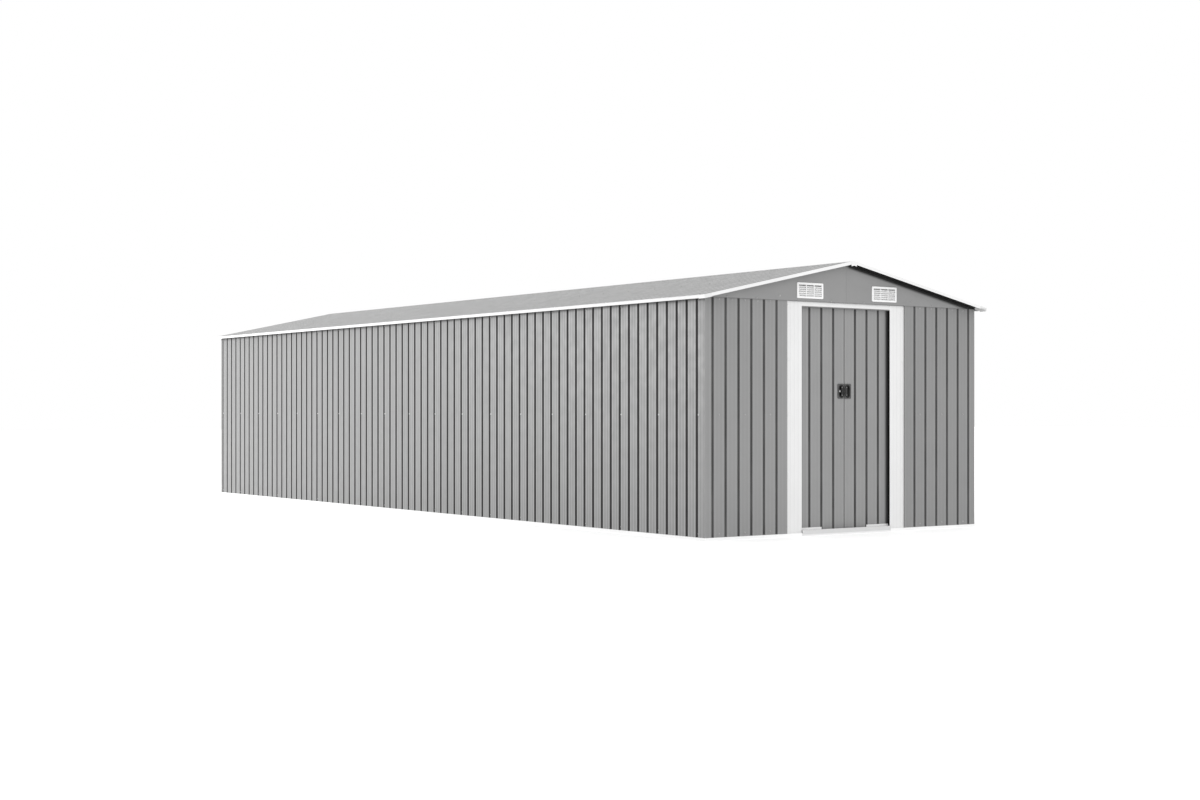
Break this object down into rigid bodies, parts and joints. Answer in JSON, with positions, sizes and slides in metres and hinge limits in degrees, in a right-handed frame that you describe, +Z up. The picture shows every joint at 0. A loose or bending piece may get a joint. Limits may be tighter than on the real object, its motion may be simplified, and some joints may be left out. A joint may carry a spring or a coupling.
{
  "type": "metal storage shed",
  "caption": "Long steel storage shed with ribbed sheet walls, a low gable roof with edge trims, gable vents and a pair of sliding doors.",
  "frame": {"origin": "on the ground under the middle of the shed's plan", "axes": "+Z up, -Y out through the sliding doors, +X to the right seen from outside the doors"},
  "size_m": [2.5768, 7.887, 1.8448],
  "materials": {
    "grey_sheet": "satin grey coating on steel sheet",
    "white_trim": "satin white coating on folded steel",
    "zinc_frame": "galvanised steel, dull",
    "nylon": "moulded nylon",
    "black_pull": "moulded black plastic"
  },
  "bodies": {
    "shed_body": {"wall_right": "grey_sheet", "wall_left": "grey_sheet", "wall_front": "grey_sheet", "wall_back": "grey_sheet", "gable_front": "grey_sheet", "gable_back": "grey_sheet", "roof_sheet_right": "grey_sheet", "roof_sheet_left": "grey_sheet", "ridge_cap": "grey_sheet", "side_base_rails": "white_trim", "back_base_rail": "white_trim", "front_base_rails": "white_trim", "gable_vents": "white_trim", "eave_trims": "white_trim", "rake_trim_front_right": "white_trim", "rake_trim_front_left": "white_trim", "rake_trim_back_right": "white_trim", "rake_trim_back_left": "white_trim", "eave_corner_caps": "white_trim", "ridge_end_caps": "white_trim", "door_posts": "white_trim", "lintel": "white_trim", "corner_angles": "zinc_frame", "side_top_rails": "zinc_frame", "back_top_rail": "zinc_frame", "door_track": "zinc_frame", "side_mid_rails": "zinc_frame", "back_mid_rail": "zinc_frame", "ridge_beam": "zinc_frame", "purlins": "zinc_frame", "door_sill": "zinc_frame", "floor_track": "zinc_frame"},
    "left_leaf": {"door_panel_left": "grey_sheet", "door_frame_left": "zinc_frame", "door_hangers_left": "nylon", "door_guides_left": "nylon", "door_pull_left": "black_pull", "door_foot_strip_left": "white_trim"},
    "right_leaf": {"door_panel_right": "grey_sheet", "door_frame_right": "zinc_frame", "door_hangers_right": "nylon", "door_guides_right": "nylon", "door_pull_right": "black_pull", "door_foot_strip_right": "white_trim", "meeting_strip": "zinc_frame"}
  },
  "joints": [
    {"name": "left_door_slide", "type": "slide", "parent": "shed_body", "child": "left_leaf", "axis": [-1, 0, 0], "range_m": [0, 0.34]},
    {"name": "right_door_slide", "type": "slide", "parent": "shed_body", "child": "right_leaf", "axis": [1, 0, 0], "range_m": [0, 0.34]}
  ]
}
